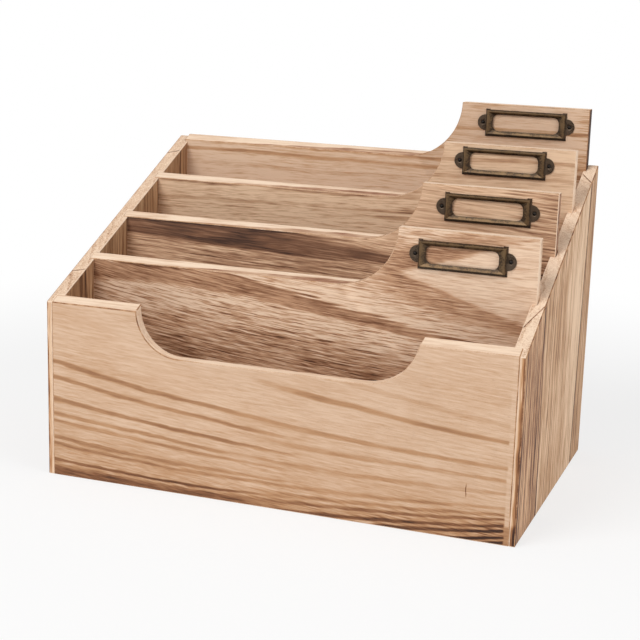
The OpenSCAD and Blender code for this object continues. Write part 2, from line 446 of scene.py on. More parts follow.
@dataclass(frozen=True)
class Figure:
    """Where the growth lines of a straight-grained board run, in millimetres.

    Left and right are the lines at the two ends. A line's height is lean and bow times the place
    along the grain, the lines fan out, and wander and ripple bend them. Turn is how far the rings
    lean through the thickness. Tint is how dark the wood between the lines is, and streaking how
    strong its fine streaks are. The streaks follow the lines, or keep to a lean and bow of their
    own. Over char_fade from char_from on the board turns darker by char_depth. Beyond worn_from
    its end is rubbed pale, but for its foot, which ends between the heights in worn_foot.
    """

    left: tuple[Streak, ...] = ()
    right: tuple[Streak, ...] = ()
    tint: Marks = ((0.0, 0.1),)
    streaking: Marks = ((0.0, 0.8),)
    lean: float = 0.0
    bow: float = 0.0
    fan: float = 0.0
    wander: float = 3.0
    ripple: float = 2.0
    streak_length: float = 28.0
    streak_width: float = 1.4
    streak_lean: tuple[float, float] | None = None
    turn: float = 0.5
    char_from: float = 0.0
    char_fade: float = 16.0
    char_depth: float = 0.0
    worn_from: float = 0.0
    worn_edge: float = 1.2
    worn_foot: tuple[float, float] = (9.0, 12.0)

    def ring(self, along: Term, across: Term, through: Term) -> Term:
        """Which growth ring a point is in, as millimetres across the board at mid-length.

        Args:
            along: Place along the grain.
            across: Place across the face.
            through: Place through the thickness.

        Returns:
            The place across the rings.
        """
        height = across + self.turn * through
        if self.lean or self.bow:
            height = height - along * (self.lean + self.bow * along)
        return height / (1.0 + self.fan * along) if self.fan else height

    def level(self, along: Term, across: Term, ring: Term, ripple: Term) -> Term:
        """Which of the fine streaks a point is in, as millimetres across the board.

        Args:
            along: Place along the grain.
            across: Place across the face.
            ring: Place across the rings.
            ripple: The noise that bends the lines.

        Returns:
            The place across the streaks.
        """
        if self.streak_lean is None:
            return ring
        lean, bow = self.streak_lean
        return across - along * (lean + bow * along) + self.ripple * ripple


@dataclass(frozen=True)
class Cathedral(Figure):
    """A board whose saw cut met the rings at a slant, so that its lines close in arches.

    The rings' centre line runs along the grain at the height axis, behind the face by a depth
    that shrinks by taper and curl towards the arch. The heart is a pale wedge inside the arch,
    given by its tip along and across the grain and how fast it opens. Fray is how far the fine
    streaks carry the edges of the bands with them, and heart_fray and heart_edge are the same
    and the softness for the heart's edge.
    """

    axis: float = 0.0
    depth: float = 40.0
    taper: float = 0.0
    curl: float = 0.0
    heart: tuple[float, float, float] = (0.0, 0.0, 0.0)
    fray: float = 0.0
    heart_fray: float = 9.0
    heart_edge: float = 1.2

    def ring(self, along: Term, across: Term, through: Term) -> Term:
        """Distance from the rings' centre line, with the arguments of the plain figure."""
        behind = self.depth + self.turn * through - along * (self.taper + self.curl * along)
        return (across - self.axis).hypot(behind)

    def in_heart(self, along: Term, across: Term, streaks: Term) -> Term:
        """How far into the pale heart a point is.

        Args:
            along: Place along the grain.
            across: Place across the face.
            streaks: The fine streaks, which the heart's edge follows.

        Returns:
            1 in the heart, 0 outside, and between them along its edge.
        """
        tip, centre, opening = self.heart
        margin = opening * (along - tip) - (across - centre).math("ABSOLUTE")
        return (margin + self.heart_fray * streaks).rise(-self.heart_edge, self.heart_edge)


@dataclass(frozen=True)
class Split:
    """A hairline split across the grain of a face, with tapered ends, in millimetres."""

    along: float
    low: float
    high: float
    width: float = 0.4
    taper: float = 3.0


@dataclass(frozen=True)
class Scorch:
    """Where the flame caught a face just under its long top edge, in millimetres.

    The scorch reaches down from the edge, is as dark as depth and fades out before its end.
    """

    end: float
    depth: float
    reach: float = 2.2
    fade: float = 50.0


@dataclass(frozen=True)
class GlueJoint:
    """The plane of a glue joint between two planks of a side, in millimetres.

    It meets the outer face at foot along Y on the floor, leans with the height, and runs skew
    through the thickness.
    """

    outer: float
    foot: float
    lean: float
    skew: float

    def behind(self, x: "Term | float", y: "Term | float", z: "Term | float") -> "Term | float":
        """How far a place is behind the joint along Y."""
        return y - self.foot - self.lean * z - self.skew * (x - self.outer)

    def holds(self, corner: Vector) -> bool:
        """Tells whether a corner of a mesh, which is in metres, is in the joint's plane."""
        return abs(self.behind(*(corner / MM))) < ON_PLANE


def glue_lines(
    canvas: Canvas, place: Place, joints: tuple[GlueJoint, ...], depth: float, square: bool
) -> "Term | float":
    """How dark the wood is beside the glue joints of a plank.

    Args:
        canvas: The material's nodes.
        place: Where the shaded point is.
        joints: The plank's glue joints.
        depth: The darkness at the joint itself.
        square: Whether the distance is taken square to the joint, and not along Y.

    Returns:
        The darkness, from 0 to 1.
    """
    _, y, z = place
    sway = 0.8 * canvas.noise(y / 18, z / 18, 8.0)
    core, reach = (0.15, 0.5) if square else (0.6, 1.8)  # half widths of the line, in millimetres
    dark = 0.0
    for joint in joints:
        off = joint.behind(*place) / (math.hypot(1.0, joint.skew) if square else 1.0)
        dark = dark + depth * (off + sway).math("ABSOLUTE").fall(core, reach)
    return dark


@dataclass(frozen=True)
class TorchedFace:
    """A broad face that was torched, which darkens its growth lines, and brushed.

    Joint_depth is how dark its glue joints are. The lines of the left end turn into those of the
    right over half_turn on each side of the middle. Front is the box's front on Y, where a plank
    is darker by front_char. That fades away over the widths in front_width and the heights in
    front_heights, all in millimetres.
    """

    timber: Timber
    figure: Figure
    grain: Grain = Grain.LEVEL_UPRIGHT_BOARD
    split: Split | None = None
    scorch: Scorch | None = None
    joint_depth: float = 0.66
    half_turn: float = 35.0
    front: float = 0.0
    front_char: float = 0.0
    front_width: tuple[float, float] = (1.5, 5.0)
    front_heights: tuple[float, float] = (70.0, 125.0)

    def curve(self, canvas: Canvas, ring: Term, marks: Marks) -> "Term | float":
        """Draws a curve through marks across the rings.

        Args:
            canvas: The material's nodes.
            ring: Place across the rings.
            marks: Places across the rings in rising order, each with the curve's value.

        Returns:
            The curve's value at the ring, which is a plain number where there is one mark.
        """
        if len(marks) == 1:
            return marks[0][1]
        most = max(value for _, value in marks)
        low, high = marks[0][0] - 1.0, marks[-1][0] + 1.0
        stops = [((at - low) / (high - low), grey(value / most)) for at, value in marks]
        share = (ring - low) / (high - low)
        return most * Term(canvas.tree, canvas.ramp(share, stops, "EASE"))

    def lines(self, canvas: Canvas, along: Term, ring: Term) -> Term:
        """How dark the chosen growth lines are, which may differ between the board's ends.

        Args:
            canvas: The material's nodes.
            along: Place along the grain.
            ring: Place across the rings.

        Returns:
            The darkness, from 0 to 1.
        """
        ends = []
        for streaks in (self.figure.left, self.figure.right):
            groups = [streaks[at:at + MOST_STREAKS] for at in range(0, len(streaks), MOST_STREAKS)]
            ends.append(sum(
                self.curve(canvas, ring, tuple(stop for streak in group for stop in streak.stops()))
                for group in groups
            ))
        left, right = ends
        if not self.figure.right:
            return left
        share = along.rise(-self.half_turn, self.half_turn)
        return left * (1.0 - share) + right * share

    def marks_of_use(self, canvas: Canvas, along: Term, across: Term, edge_at: float) -> Term:
        """How dark the split and the scorched strip under the edge are.

        Args:
            canvas: The material's nodes.
            along: Place along the grain.
            across: Place across the face.
            edge_at: Height of the face's long top edge.

        Returns:
            The darkness, from 0 to 1.
        """
        dark = 0.0
        if split := self.split:
            sway = 1.5 * canvas.noise(across / 5, along / 50, 0.0)
            off = (along - split.along + sway).math("ABSOLUTE")
            crack = off.fall(split.width / 4, split.width)
            crack = crack * across.rise(split.low, split.low + split.taper)
            dark = 0.6 * crack * across.fall(split.high - split.taper, split.high)
        if scorch := self.scorch:
            flame = scorch.reach * (1.0 + 3.0 * canvas.noise(along / 30, across / 9, 2.0))
            burnt = (across - edge_at + flame).rise(0.0, scorch.reach)
            burnt = burnt * along.fall(scorch.end - scorch.fade, scorch.end)
            dark = dark + scorch.depth * burnt
        return dark

    def material(
        self, name: str, face_at: float, edge_at: float = 0.0, joints: tuple[GlueJoint, ...] = ()
    ) -> bpy.types.Material:
        """Makes the finish.

        Args:
            name: The material's name.
            face_at: The face's own place through the thickness, in millimetres.
            edge_at: Height of the face's long top edge, in millimetres.
            joints: A plank's glue joints.

        Returns:
            The material.
        """
        figure = self.figure
        arched = isinstance(figure, Cathedral)
        canvas = Canvas(name)
        place = canvas.place()
        along, across, through = self.grain.axes(*place)
        through = through - face_at

        # the growth rings, and the fine streaks along the grain
        swell = canvas.noise(along / 70, across / 24, through / 30, detail=1.0)
        ripple = canvas.noise(along / 14, across / 4.5, through / 6, detail=3.0)
        ring = figure.ring(along, across, through)
        ring = ring + figure.wander * swell + figure.ripple * ripple
        level = figure.level(along, across, ring, ripple)
        length, width = figure.streak_length, figure.streak_width
        long_streaks = canvas.noise(along / length, level / width, through / 3)
        short_streaks = canvas.noise(along / (0.36 * length), level / (0.55 * width), 4.0)
        fibre = canvas.noise(along / 7, level / 0.45, through / 0.8, detail=3.0)
        streaks = 0.7 * long_streaks + 0.6 * short_streaks + 0.3 * fibre
        if arched:
            ring = ring + figure.fray * long_streaks

        # how dark they are, which varies along the board
        fade = canvas.noise(along / 45, ring / 9, 0.0)
        patch = canvas.noise(along / 80, across / 26, through / 40)
        dark = self.curve(canvas, ring, figure.tint) + 0.4 * patch
        plain = 1.0
        if figure.left:
            chosen = self.lines(canvas, along, ring) * (1.0 + 1.3 * fade)
            dark = dark + chosen
            plain = 1.0 - chosen.math("MINIMUM", 0.6)
        strength = self.curve(canvas, ring, figure.streaking) * (1.0 + 1.2 * fade)
        dark = dark + streaks * strength * plain
        if arched:
            heart = figure.in_heart(along, across, long_streaks)
            dark = dark * (1.0 - heart) + heart * (0.1 + 1.1 * streaks)

        # its ends and edges, rubbed or charred
        if figure.worn_from:
            foot = across.fall(*figure.worn_foot)
            end = (along + 2.0 * fade).rise(figure.worn_from, figure.worn_from + figure.worn_edge)
            dark = dark * (1.0 - end) + end * (0.08 + 0.4 * foot + 0.6 * streaks)
        if figure.char_depth:
            reach = along + 40.0 * fade + 25.0 * long_streaks
            end = reach.rise(figure.char_from, figure.char_from + figure.char_fade)
            dark = dark + end * (figure.char_depth + 0.9 * long_streaks + 0.6 * short_streaks)
        if self.split or self.scorch:
            dark = dark + self.marks_of_use(canvas, along, across, edge_at)
        if joints:
            dark = dark + glue_lines(canvas, place, joints, self.joint_depth, square=False)
        if self.front_char:
            _, y, z = place
            near = (y - self.front + 8.0 * short_streaks).fall(*self.front_width)
            dark = dark + self.front_char * near * z.fall(*self.front_heights)

        pores = canvas.noise(along / 3.2, ring / 0.3, through / 0.5).rise(0.10, 0.24)
        height = 0.5 * dark + 0.8 * fibre - 0.5 * pores
        return self.timber.finish(canvas, dark, 0.7 + 0.3 * fibre, height, 0.12 * MM)


@dataclass(frozen=True)
class CutEdge:
    """A long edge that was sawn after the torching, so that pale wood shows.

    The saw may have run off towards the right, and left a torched strip along the front arris.
    Front is the arris's place on Y and strip the full width, which it reaches on X between the
    places in strip_rise and loses between those in strip_fall, all in millimetres.
    """

    timber: Timber = CREAM
    front: float = 0.0
    strip: float = 0.0
    strip_rise: tuple[float, float] = (-130.0, 20.0)
    strip_fall: tuple[float, float] = (36.0, 52.0)

    def material(self, name: str) -> bpy.types.Material:
        """Makes the finish.

        Args:
            name: The material's name.

        Returns:
            The material.
        """
        canvas = Canvas(name)
        x, y, z = canvas.place()
        streak = canvas.noise(x / 26, y / 1.4, z / 2.5)
        fibre = canvas.noise(x / 5, y / 0.4, z / 0.5)
        patch = canvas.noise(x / 30, y / 9, z / 14)
        dark = 0.1 + 0.9 * streak + 0.4 * fibre + 0.6 * patch
        if self.strip:
            width = self.strip * x.rise(*self.strip_rise) * x.fall(*self.strip_fall)
            missed = width - (y - self.front) + 2.5 * patch
            dark = dark + 0.5 * missed.rise(-0.4, 0.4)
        return self.timber.finish(canvas, dark, 0.7 + 0.2 * fibre, streak + fibre, 0.08 * MM)


@dataclass(frozen=True)
class EndGrain:
    """The end of a board, where the pores show as specks and the rings as arcs.

    The rings' centre on X and Y and their spacing are in millimetres, and joint_depth is how
    dark the glue joints are.
    """

    centre_x: float
    centre_y: float
    char: float = 0.14
    spacing: float = 4.2
    joint_depth: float = 0.7
    timber: Timber = CREAM

    def material(self, name: str, joints: tuple[GlueJoint, ...] = ()) -> bpy.types.Material:
        """Makes the finish.

        Args:
            name: The material's name.
            joints: A plank's glue joints.

        Returns:
            The material.
        """
        canvas = Canvas(name)
        x, y, z = canvas.place()
        ring = (x - self.centre_x).hypot(y - self.centre_y) + 6.0 * canvas.noise(x / 9, y / 9, z / 40)
        step = ring / self.spacing
        saw = step.math("FRACT")
        arc = saw.rise(0.2, 0.85) * saw.fall(0.9, 1.0) * canvas.random(step.math("FLOOR"))
        specks = canvas.noise(x / 0.8, y / 0.8, z / 3, detail=3.0)
        patch = canvas.noise(x / 7, y / 9, z / 9)
        dark = self.char + 0.3 * arc + 1.3 * specks + 0.5 * patch
        if joints:
            dark = dark + glue_lines(canvas, (x, y, z), joints, self.joint_depth, square=True)
        return self.timber.finish(canvas, dark, 0.8 + 0.1 * specks, -1.0 * specks, 0.1 * MM)


@dataclass(frozen=True)
class ScorchedLip:
    """The front and back edges of a side: a pale line at the seam, and char at the outer corner.

    Seam and outer are the edge's two sides on X, from the box's middle. The right edge is toasted
    over most of its width. Its corner is darkest below the heights in low, and its foot is
    charred below those in foot. All are in millimetres.
    """

    seam: float
    outer: float
    low: tuple[float, float] = (60.0, 100.0)
    foot: tuple[float, float] = (9.0, 13.0)
    timber: Timber = EMBER

    def material(self, name: str) -> bpy.types.Material:
        """Makes the finish.

        Args:
            name: The material's name.

        Returns:
            The material.
        """
        canvas = Canvas(name)
        x, y, z = canvas.place()
        right = x.rise(0.0, 1.0)
        sway = canvas.noise(z / 22, y / 10, x / 40)
        outwards = (x.math("ABSOLUTE") - self.seam) / (self.outer - self.seam) + 0.9 * sway
        streak = canvas.noise(z / 16, x / 0.7, y / 2, detail=3.0)
        low = z.fall(*self.low) * right
        toasted = outwards.rise(0.25, 0.6) * (0.06 + 0.36 * right)
        corner = outwards.rise(0.66, 0.86) * (0.45 + right * (0.25 * low - 0.4))
        foot = 0.4 * z.fall(*self.foot) * right
        dark = 0.1 + toasted + corner + 1.3 * streak + foot
        return self.timber.finish(canvas, dark, 0.7 + 0.2 * streak, streak, 0.1 * MM)


@dataclass(frozen=True)
class Arris:
    """The eased arrises of a board, which the flame caught harder or softer at each end.

    The places between which the one turns into the other are in millimetres on X.
    """

    left: float
    right: float
    turn_from: float = -80.0
    turn_by: float = -30.0
    timber: Timber = TAN

    def material(self, name: str) -> bpy.types.Material:
        """Makes the finish.

        Args:
            name: The material's name.

        Returns:
            The material.
        """
        canvas = Canvas(name)
        x, y, z = canvas.place()
        nicks = canvas.noise(x / 6, y / 6, z / 6, detail=4.0)
        fine = canvas.noise(x / 0.8, y / 0.8, z / 0.8)
        caught = self.left + (self.right - self.left) * x.rise(self.turn_from, self.turn_by)
        dark = caught * (1.0 + 2.2 * nicks) + 0.4 * nicks + 0.5 * fine
        return self.timber.finish(canvas, dark, 0.74 + 0.2 * fine, nicks + fine, 0.1 * MM)


CLEAN = Arris(0.04, 0.04, timber=CREAM)
TOASTED = Arris(0.3, 0.4)
SCORCHED = Arris(0.6, 0.54)


# ---- Metal ----


@dataclass(frozen=True)
class AntiqueBrass:
    """Pressed brass, blackened and rubbed back, so that it is lightest on its ridges.

    The wood's face is its place along Y, the ridges stand out by ridge, and foot is the height
    of the lowest edge, all in millimetres. Just above the foot the raised parts get a near-black
    painted shade, for the underside of the rim that faces down away from the light; it fades out
    over the heights given for it, in millimetres. The flat turns dark over dark_from and is
    rubbed over rubbed_from, as shares of the ridge.
    """

    face: float
    ridge: float
    foot: float
    flat: Colour = tone(82, 67, 53)
    dark: Colour = tone(56, 42, 29)
    rubbed: Colour = tone(110, 87, 60)
    # near-black painted shade for the down-facing foot of the rim
    painted_shade: Colour = tone(22, 16, 12)
    dark_from: tuple[float, float] = (0.28, 0.42)
    rubbed_from: tuple[float, float] = (0.5, 1.05)
    # heights above the foot over which that painted shade fades out, in millimetres
    painted_shade_height: tuple[float, float] = (1.3, 2.1)
    metallic: float = 0.7

    def material(self, name: str) -> bpy.types.Material:
        """Makes the finish.

        Args:
            name: The material's name.

        Returns:
            The material.
        """
        canvas = Canvas(name)
        x, y, z = canvas.place()
        height = (self.face - y) / self.ridge
        blotch = canvas.noise(x / 6, y / 6, z / 4, detail=3.0)
        scuff = canvas.noise(x / 0.9, y / 0.9, z / 0.7, detail=3.0)
        worn = height + 1.2 * blotch + 1.2 * scuff
        # painted shade: the raised parts turn near black just above the foot, where the rim faces down away
        # from the light
        under = (z - self.foot + 1.0 * blotch).fall(*self.painted_shade_height)
        colour = canvas.mix(worn.rise(*self.dark_from), self.flat, self.dark)
        colour = canvas.mix(worn.rise(*self.rubbed_from), colour, self.rubbed)
        colour = canvas.mix(under * height.rise(0.1, 0.3) * 0.9, colour, self.painted_shade)
        canvas.shader.inputs["Metallic"].default_value = self.metallic
        return canvas.finish(colour, 0.46 + 0.35 * scuff, 0.6 * scuff + blotch, 0.05 * MM)


@dataclass(frozen=True)
class BrightSteel:
    """Plain drawn steel, as on the heads of the brads."""

    bright: Colour = tone(178, 178, 174)
    dull: Colour = tone(120, 116, 108)

    def material(self, name: str) -> bpy.types.Material:
        """Makes the finish.

        Args:
            name: The material's name.

        Returns:
            The material.
        """
        canvas = Canvas(name)
        x, y, z = canvas.place()
        scratch = canvas.noise(x / 0.5, y / 0.08, z / 0.5, detail=3.0)
        spots = canvas.noise(x / 0.6, y / 0.6, z / 0.6)
        colour = canvas.mix((spots + 0.5 * scratch).rise(-0.1, 0.3), self.bright, self.dull)
        canvas.shader.inputs["Metallic"].default_value = 1.0
        return canvas.finish(colour, 0.38 + 0.4 * scratch, scratch, 0.02 * MM)


# ---- Pieces ----


def eased_copy(
    node: str, name: str, ease: float, shortest: float, joints: tuple[GlueJoint, ...] = (),
    crowded: bool = False,
) -> tuple[bpy.types.Object, set[int]]:
    """Copies a solid, joins its loose triangles and eases its arrises.

    Args:
        node: The solid's name.
        name: The new piece's name.
        ease: Width of the eased arrises, in metres.
        shortest: Edges shorter than this, such as those round pin holes, stay sharp.
        joints: Edges in these planes stay sharp too.
        crowded: Whether the edges are so close that the easing has to be held back.

    Returns:
        The piece and the numbers of the faces that ease its arrises.
    """
    shape = bmesh.new()
    shape.from_mesh(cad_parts[node].data)
    bmesh.ops.remove_doubles(shape, verts=shape.verts, dist=WELD)
    bmesh.ops.dissolve_limit(shape, angle_limit=FLAT, verts=shape.verts, edges=shape.edges)
    sharp = [
        edge for edge in shape.edges
        if edge.is_manifold
        and edge.calc_face_angle() > SHARP
        and edge.calc_length() > shortest
        and not any(all(joint.holds(corner.co) for corner in edge.verts) for joint in joints)
    ]
    eased = bmesh.ops.bevel(
        shape, geom=sharp, offset=ease, offset_type="OFFSET", affect="EDGES", segments=2,
        profile=0.5, material=-1, clamp_overlap=crowded,
    )["faces"]
    low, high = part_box(node)
    for corner in shape.verts:
        corner.co = [min(max(at, least), most) for at, least, most in zip(corner.co, low, high)]
    shape.faces.index_update()
    arris_faces = {face.index for face in eased}
    mesh = bpy.data.meshes.new(name)
    shape.to_mesh(mesh)
    shape.free()
    mesh.polygons.foreach_set("use_smooth", [True] * len(mesh.polygons))
    mesh.set_sharp_from_angle(angle=CREASE)
    piece = bpy.data.objects.new(name, mesh)
    bpy.context.scene.collection.objects.link(piece)
    return piece, arris_faces


class Side(IntEnum):
    """A board's kinds of face, each with the number of its material slot."""

    FACE = 0
    EDGE = 1
    END = 2
    ARRIS = 3
    SEAM = 4


@dataclass(frozen=True)
class Board:
    """A wooden board that takes the place of one solid.

    Its arrises are dressed as arris, but at a level board's two ends and on a plank's inner face
    as seam. Ease is their width, and edges shorter than shortest stay sharp, both in metres.
    """

    node: str
    slot: str
    face: TorchedFace
    arris: Arris
    end: EndGrain
    seam: Arris = CLEAN
    edge: "CutEdge | ScorchedLip" = CutEdge()
    body: str = "case"
    ease: float = 0.35 * MM
    shortest: float = 0.8 * MM

    def joints(self, outer: float) -> tuple[GlueJoint, ...]:
        """Finds a plank's glue joints from its solid.

        Args:
            outer: The outer face's place along X.

        Returns:
            The joints, front one first.
        """
        corners = [corner.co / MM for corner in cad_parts[self.node].data.vertices]
        inner = min((corner.x for corner in corners), key=abs)
        outside = [corner for corner in corners if abs(corner.x - outer) < SAME_FACE]
        inside = [corner for corner in corners if abs(corner.x - inner) < SAME_FACE]
        middle = sum(corner.y for corner in outside) / len(outside)
        found = []
        for ahead in (True, False):
            edge = sorted((corner.z, corner.y) for corner in outside if (corner.y < middle) == ahead)
            (low, foot), (high, head) = edge[0], edge[-1]
            if abs(foot) * MM > CAD_BOX[1].y - MM:
                continue  # the front or the back of the box, and no joint
            lean = (head - foot) / (high - low)
            pick = min if ahead else max
            within = pick(corner.y - lean * corner.z for corner in inside)
            found.append(GlueJoint(outer, foot, lean, (within - foot) / (inner - outer)))
        return tuple(found)

    def dress(
        self, piece: bpy.types.Object, arris_faces: set[int], outer: float, joints: tuple[GlueJoint, ...]
    ) -> None:
        """Gives each face its finish: broad face, long edge, end or arris.

        Args:
            piece: The board's piece.
            arris_faces: The numbers of the faces that ease its arrises.
            outer: The outer or front face's place through the thickness, in millimetres.
            joints: A plank's glue joints.
        """
        upright = self.face.grain is Grain.UPRIGHT
        low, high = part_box(self.node)
        reach = max(high.x, -low.x)
        edge_at = high.z if upright else max(
            corner.co.z for corner in piece.data.vertices
            if corner.co.x < low.x + MM and corner.co.y < low.y + self.ease / 2
        )
        for material in (
            self.face.material(f"{self.node}_face", outer, edge_at / MM, joints),
            self.edge.material(f"{self.node}_edge"),
            self.end.material(f"{self.node}_end", joints),
            self.arris.material(f"{self.node}_arris"),
            self.seam.material(f"{self.node}_seam"),
        ):
            piece.data.materials.append(material)
        end_from = 0.5 if upright else 0.99  # a plank's end slopes, and a curved edge is no end
        for polygon in piece.data.polygons:
            side, front, top = (abs(part) for part in polygon.normal)
            broad, end = (side, top) if upright else (front, side)
            at_reach = abs(polygon.center.x) > reach - MM
            if polygon.index in arris_faces:
                kind = Side.ARRIS if at_reach == upright else Side.SEAM
            elif broad > BROAD:
                kind = Side.FACE
            else:
                kind = Side.END if end > end_from else Side.EDGE
            polygon.material_index = kind

    def build(self) -> bpy.types.Object:
        """Makes the board and ties it to its solid.

        Returns:
            The finished piece.
        """
        low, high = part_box(self.node)
        upright = self.face.grain is Grain.UPRIGHT
        outer = (max(high.x, low.x, key=abs) if upright else low.y) / MM
        joints = self.joints(outer) if upright else ()
        piece, arris_faces = eased_copy(
            self.node, f"torched_{self.node}", self.ease, self.shortest, joints
        )
        self.dress(piece, arris_faces, outer, joints)
        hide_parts(self.node)
        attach(piece, self.body)
        return piece


@dataclass(frozen=True)
class LabelHolder:
    """A pressed brass label holder and its two pins, on one tab.

    Ridge is how far its ridges stand out, in millimetres. The pins are black all over, out of
    reach of rubbing and of the painted shade at the holder's foot.
    """

    tab: str
    body: str
    ridge: float = 2.2
    ease: float = 0.12 * MM
    shortest: float = 0.12 * MM
    pin: AntiqueBrass = AntiqueBrass(
        face=0.0, ridge=FAR_OFF, foot=-FAR_OFF, flat=tone(34, 29, 26), metallic=0.8
    )

    def build(self) -> list[bpy.types.Object]:
        """Makes the holder with softened edges, and blackens its pins.

        Returns:
            The holder and the pins.
        """
        node = f"{self.tab}_label_holder"
        low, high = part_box(node)
        face, foot = high.y / MM, low.z / MM
        holder, _ = eased_copy(node, f"brass_{node}", self.ease, self.shortest, crowded=True)
        holder.data.materials.append(AntiqueBrass(face, self.ridge, foot).material(f"{node}_brass"))
        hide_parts(node)
        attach(holder, self.body)
        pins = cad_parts[f"{self.tab}_label_pins"]
        dress_solid(pins, self.pin.material(f"{self.tab}_pin_brass"))
        return [holder, pins]


def dress_solid(solid: bpy.types.Object, material: bpy.types.Material) -> None:
    """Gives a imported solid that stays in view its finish.

    Args:
        solid: The solid's object.
        material: The finish.
    """
    solid.data.materials.clear()
    solid.data.materials.append(material)


# ---- Sub-assemblies ----


FRONT_FIGURE = Figure(
    left=(
        Streak(-3.0, 4.0, 0.34, 1.0, 2.0), line(7.3, 0.48, 0.7), line(14.4, 0.26, 0.8),
        line(17.2, 0.28, 0.8), line(24.6, 0.3, 0.8), line(28.0, 0.32, 0.8), line(34.0, 0.42, 1.0),
        line(43.6, 0.38, 1.0), line(50.5, 0.38, 1.1),
    ),
    right=(
        Streak(-16.0, -14.6, 0.5), Streak(-11.6, -10.4, 0.52), Streak(-5.8, -4.4, 0.48),
        Streak(-1.3, -0.2, 0.4), line(4.9, 0.38), line(9.2, 0.26), line(14.8, 0.2),
        line(27.6, 0.18, 1.5), line(39.6, 0.22, 1.5), line(50.0, 0.27, 1.6), line(72.0, 0.36, 1.7),
        line(86.6, 0.14, 2.0),
    ),
    tint=((-20.0, 0.48), (0.0, 0.4), (10.0, 0.22), (30.0, 0.14), (53.0, 0.13), (62.0, 0.09)),
    streaking=((0.0, 1.4), (20.0, 0.75), (70.0, 0.6)),
    lean=0.0443, bow=0.000313, fan=-0.00276, wander=2.5, ripple=1.4, streak_lean=(-0.07, 0.0),
    streak_length=24.0, worn_from=133.0,
)
FRONT_DIVIDER_FIGURE = Cathedral(
    left=(
        Streak(20.0, 31.5, 0.3, 2.0, 5.0), Streak(43.4, 46.6, 0.46),
        Streak(61.0, 70.0, 0.2, 9.0, 10.0),
    ),
    tint=((24.0, 0.2), (33.0, 0.2), (42.0, 0.1), (50.0, 0.16), (90.0, 0.38)),
    streaking=((26.0, 2.2), (31.0, 2.2), (42.0, 1.9), (48.0, 2.6), (90.0, 2.6)),
    axis=133.0, depth=38.5, taper=0.0905, curl=0.00051, wander=2.0, ripple=1.2,
    streak_lean=(-0.078, 0.0003), streak_width=1.15, heart=(57.0, 133.0, 0.32), fray=5.0,
)
MIDDLE_DIVIDER_FIGURE = Figure(
    left=(Streak(127.0, 138.5, 0.53, 2.0, 2.0),),
    right=(Streak(130.0, 134.0, 0.4, 2.0, 2.0),),
    tint=((120.0, 0.4), (137.0, 0.3), (146.0, 0.18)),
    streaking=((126.0, 1.9), (140.0, 1.5), (147.0, 1.1)),
    lean=-0.045, ripple=1.2, char_from=106.0, char_depth=0.24, streak_length=45.0,
)
REAR_DIVIDER_FIGURE = Figure(
    left=(Streak(150.6, 151.8, 0.22), line(174.6, 0.18), line(184.6, 0.26)),
    right=(line(146.8, 0.3), Streak(150.6, 151.8, 0.28), line(174.6, 0.18), line(184.6, 0.26)),
    tint=((0.0, 0.1),), streaking=((150.0, 1.8), (162.0, 1.1)), lean=0.02, ripple=1.2,
)
BACK_FIGURE = Figure(
    left=(line(166.0, 0.18), line(174.8, 0.36)),
    right=(
        line(174.0, 0.34), line(179.4, 0.24), line(187.0, 0.18), line(196.0, 0.1), line(200.4, 0.3),
    ),
    tint=((160.0, 0.0), (176.0, 0.06)), streaking=((150.0, 1.2), (215.0, 1.0)), ripple=1.2,
    char_from=121.0, char_depth=0.16,
)
BOTTOM_FIGURE = Figure(tint=((0.0, 0.22),), streaking=((0.0, 1.6),), wander=8.0, streak_length=50.0)


def plank_figure(tint: Marks, streaking: float, length: float, width: float) -> Figure:
    """Makes the figure of a side plank.

    Args:
        tint: How dark the wood is across the rings.
        streaking: The strength of its fine streaks.
        length: Their length along the grain.
        width: Their width.

    Returns:
        The figure.
    """
    return Figure(
        tint=tint, streaking=((0.0, streaking),), wander=5.0, ripple=1.2,
        streak_length=length, streak_width=width,
    )


STREAKY_PLANK = plank_figure(((0.0, 0.36),), 4.0, 90.0, 2.7)
PLAIN_PLANK = plank_figure(((0.0, 0.4),), 1.8, 90.0, 3.0)
PALE_PLANK = plank_figure(((-40.0, 0.32), (10.0, 0.3), (50.0, 0.1)), 1.9, 70.0, 3.0)
DARK_PLANK = plank_figure(((0.0, 0.46),), 1.5, 80.0, 2.6)


